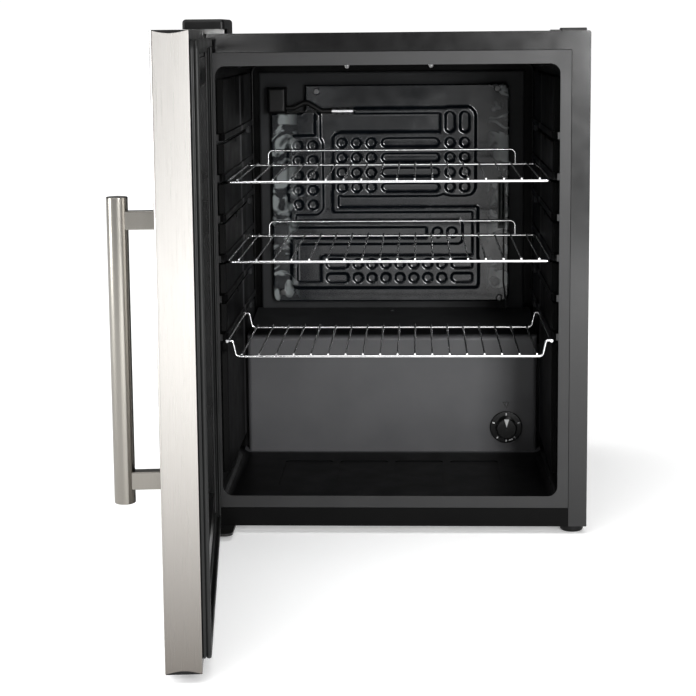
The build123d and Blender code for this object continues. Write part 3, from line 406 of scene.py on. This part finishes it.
def build_pressed_plate():
    """The cold plate as thin blown sheet: pillowed channels on a slightly wavy field."""
    grid_step, rim, stand_off = 0.0010, 0.0006, 0.0006
    look_from = 0.05
    wave_height, flat_share = 0.00035, 0.35
    wave_pitch, ripple_pitch, ripple_share = 22, 55, 0.4
    source = nodes["evaporator_plate"]
    low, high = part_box("evaporator_plate")
    tree = BVHTree.FromPolygons(
        [v.co.copy() for v in source.data.vertices], [tuple(p.vertices) for p in source.data.polygons]
    )
    columns = int((high.x - low.x) / grid_step)
    rows = int((high.z - low.z) / grid_step)
    xs = np.linspace(low.x + rim, high.x - rim, columns)
    zs = np.linspace(low.z + rim, high.z - rim, rows)
    depth = np.full((rows, columns), np.nan)
    wave = np.zeros((rows, columns))
    for j, z in enumerate(zs):
        for i, x in enumerate(xs):
            hit = tree.ray_cast(Vector((x, low.y - look_from, z)), Vector((0, 1, 0)))
            if hit[0] is not None:
                depth[j, i] = hit[0].y
            place = Vector((x, 0.0, z))
            ripple = noise.noise(place * ripple_pitch + Vector((3, 0, 5)))
            wave[j, i] = noise.noise(place * wave_pitch) + ripple_share * ripple
    solid = ~np.isnan(depth)
    face = np.nanmax(depth)
    pillow = soften(np.where(solid, face - depth, 0.0), 2)
    wave *= wave_height * (flat_share + (1 - flat_share) * np.clip(pillow / pillow.max(), 0, 1))
    inside = solid.copy()
    for shift, axis in ((1, 0), (-1, 0), (1, 1), (-1, 1)):
        inside &= np.roll(solid, shift, axis)
    edge = ~inside
    edge[[0, -1], :] = True
    edge[:, [0, -1]] = True
    surface = np.where(edge, high.y, face - stand_off - pillow - wave)
    index = -np.ones((rows, columns), int)
    index[solid] = np.arange(solid.sum())
    points = [(xs[i], surface[j, i], zs[j]) for j, i in zip(*np.nonzero(solid))]
    whole = solid[:-1, :-1] & solid[1:, :-1] & solid[:-1, 1:] & solid[1:, 1:]
    faces = [
        (int(index[j, i]), int(index[j, i + 1]), int(index[j + 1, i + 1]), int(index[j + 1, i]))
        for j, i in zip(*np.nonzero(whole))
    ]
    add_piece("pressed_plate", points, faces, plate_gloss, "cabinet", "evaporator_plate")


def shut_box(name):
    """A door node's box with the door shut, measured from the hinge pin."""
    placed = [shut @ (Vector(v.co) - hinge_pin) for v in nodes[name].data.vertices]
    return [(min(values), max(values)) for values in zip(*placed)]


def as_stored(points):
    """Points given with the door shut, moved to where the stored door stands."""
    return [opened @ Vector(p) + hinge_pin for p in points]


def rounded_loop(x0, x1, z0, z1, radius, inset):
    """Points around a rounded rectangle, inset from its outline, as (x, z)."""
    segments, least_radius = 6, 0.0008
    corner = max(radius - inset, least_radius)
    loop = []
    for cx, cz, start in ((x1, z1, 0), (x0, z1, 90), (x0, z0, 180), (x1, z0, 270)):
        mx = cx - math.copysign(inset + corner, cx - (x0 + x1) / 2)
        mz = cz - math.copysign(inset + corner, cz - (z0 + z1) / 2)
        for k in range(segments + 1):
            a = math.radians(start + 90 * k / segments)
            loop.append((mx + corner * math.cos(a), mz + corner * math.sin(a)))
    return loop


def build_bellows_seal():
    """The door seal: an outer lip, a folded bellows and a flat magnet strip."""
    seal_width, corner_radius = 0.015, 0.009
    # The cross-section, as shares of the seal's width and of its thickness.
    profile = [
        (0.03, 0.02), (0.00, 0.12), (0.02, 0.30), (0.10, 0.40), (0.04, 0.50), (0.00, 0.66), (0.02, 0.86),
        (0.08, 0.97), (0.22, 1.00), (0.46, 1.00), (0.60, 0.97), (0.66, 0.86), (0.62, 0.70), (0.50, 0.60),
        (0.50, 0.50), (0.62, 0.44), (0.84, 0.42), (0.97, 0.34), (1.00, 0.18), (0.97, 0.04),
    ]
    (x0, x1), (y0, y1), (z0, z1) = shut_box("door_seal")
    loops = []
    for across, through in profile:
        outline = rounded_loop(x0, x1, z0, z1, corner_radius, across * seal_width)
        loops.append([(x, y0 + through * (y1 - y0), z) for x, z in outline])
    count = len(loops[0])
    faces = []
    for a in range(len(loops)):
        b = (a + 1) % len(loops)
        for k in range(count):
            n = (k + 1) % count
            faces.append((a * count + k, a * count + n, b * count + n, b * count + k))
    points = as_stored(p for loop in loops for p in loop)
    add_piece("bellows_seal", points, faces, seal_rubber, "door", "door_seal")


def build_edge_lenses():
    """Black lens-shaped sheets, a little proud of the skin's folded edge where it meets the end caps:
    painted shade for the shallow hollows there.
    """
    dip, lip, brim = 0.0026, 0.0001, 0.00025
    proud, sunk, margin, steps = 0.0004, 0.0004, 0.0006, 16
    (_, x1), (y0, y1), (z0, z1) = shut_box("door_skin")
    for name, level, way in (("edge_lens_top", z1, -1), ("edge_lens_bottom", z0, 1)):
        rim = []
        for k in range(steps + 1):
            t = k / steps
            y = y0 + margin + t * (y1 - y0 - 2 * margin)
            rim.append((y, level + way * lip))
            rim.append((y, level + way * (brim + dip * math.sin(math.pi * t))))
        points = as_stored((x, y, z) for x in (x1 - sunk, x1 + proud) for y, z in rim)
        count = len(rim)
        faces = [(0, 1, count + 1, count), (count - 2, count - 1, 2 * count - 1, 2 * count - 2)]
        for k in range(0, count - 2, 2):
            for shift in (0, count):
                faces.append((k + shift, k + 1 + shift, k + 3 + shift, k + 2 + shift))
            faces.append((k, k + 2, k + 2 + count, k + count))
            faces.append((k + 1, k + 3, k + 3 + count, k + 1 + count))
        # Each lens is a black sheet over the steel edge: painted shade for the hollow.
        lens = mesh_object(name, points, faces, frame_plastic)
        bm = bmesh.new()
        bm.from_mesh(lens.data)
        bmesh.ops.recalc_face_normals(bm, faces=bm.faces)
        bm.to_mesh(lens.data)
        bm.free()
        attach(lens, "door")


# ----------------------------------------------------------- stage and camera


def build_floor():
    reach = 12.0
    f = Finish("floor_pale")
    f.colour(f.cloud(0.8, (0.88, 0.88, 0.88), (0.9, 0.9, 0.9), 2))
    f.rough(f.noise(0.3, 2), 0.7, 0.8)
    f.shader.inputs["Emission Color"].default_value = (1, 1, 1, 1)
    f.shader.inputs["Emission Strength"].default_value = 0.22
    corners = [(-reach, -reach, 0), (reach, -reach, 0), (reach, reach, 0), (-reach, reach, 0)]
    floor = mesh_object("floor", corners, [(0, 1, 2, 3)], f.material)


def add_light(data, direction, place=(0, 0, 0)):
    light = bpy.data.objects.new(data.name, data)
    light.location = place
    light.rotation_mode = "QUATERNION"
    light.rotation_quaternion = Vector(direction).to_track_quat("-Z", "Y")
    scene.collection.objects.link(light)


def softbox(name, place, target, width, height, power):
    data = bpy.data.lights.new(name, "AREA")
    data.shape = "RECTANGLE"
    data.size = width
    data.size_y = height
    data.energy = power
    add_light(data, Vector(target) - Vector(place), place)


def build_world():
    """A dim white room for the object's light and reflections, and a white backdrop for the camera."""
    world = bpy.data.worlds.new("studio")
    world.use_nodes = True
    tree = world.node_tree
    room = tree.nodes["Background"]
    backdrop = tree.nodes.new("ShaderNodeBackground")
    for background, strength in ((room, 0.21), (backdrop, 1.05)):
        background.inputs["Color"].default_value = (1, 1, 1, 1)
        background.inputs["Strength"].default_value = strength
    path = tree.nodes.new("ShaderNodeLightPath")
    choose = tree.nodes.new("ShaderNodeMixShader")
    tree.links.new(path.outputs["Is Camera Ray"], choose.inputs[0])
    tree.links.new(room.outputs[0], choose.inputs[1])
    tree.links.new(backdrop.outputs[0], choose.inputs[2])
    tree.links.new(choose.outputs[0], tree.nodes["World Output"].inputs["Surface"])
    scene.world = world


def build_lights():
    """Broad light from above, and a softbox on each side in front."""
    sun = bpy.data.lights.new("ceiling_light", "SUN")
    sun.energy = 2.9
    sun.angle = math.radians(75)
    add_light(sun, (0.25, 0.3, -1.0))
    softbox("left_softbox", (-2.8, -1.4, 1.0), (-0.2, -0.4, 0.3), width=1.6, height=2.2, power=70)
    softbox("right_softbox", (0.9, -2.7, 0.9), (0.15, -0.2, 0.4), width=0.66, height=1.0, power=70)


def build_camera():
    """The photograph's viewpoint, from a perspective fit to its straight edges."""
    place = (0.03413, -2.06346, 0.56484)
    yaw, pitch, roll = math.radians(2.44), math.radians(-7.85), math.radians(-0.54)
    forward = Vector((-math.sin(yaw) * math.cos(pitch), math.cos(yaw) * math.cos(pitch), math.sin(pitch)))
    level = forward.cross(Vector((0, 0, 1))).normalized()
    rise = level.cross(forward)
    right = level * math.cos(roll) + rise * math.sin(roll)
    top = rise * math.cos(roll) - level * math.sin(roll)
    data = bpy.data.cameras.new("camera")
    data.sensor_width = 36.0
    data.lens = 86.8
    data.shift_y = -0.12
    data.clip_start = 0.05
    data.clip_end = 60.0
    camera = bpy.data.objects.new("camera", data)
    turn = Matrix((right, top, -forward)).transposed().to_4x4()
    camera.matrix_world = Matrix.Translation(place) @ turn
    scene.collection.objects.link(camera)
    scene.camera = camera


build_pressed_plate()
build_bellows_seal()
build_edge_lenses()
build_floor()
build_world()
build_lights()
build_camera()
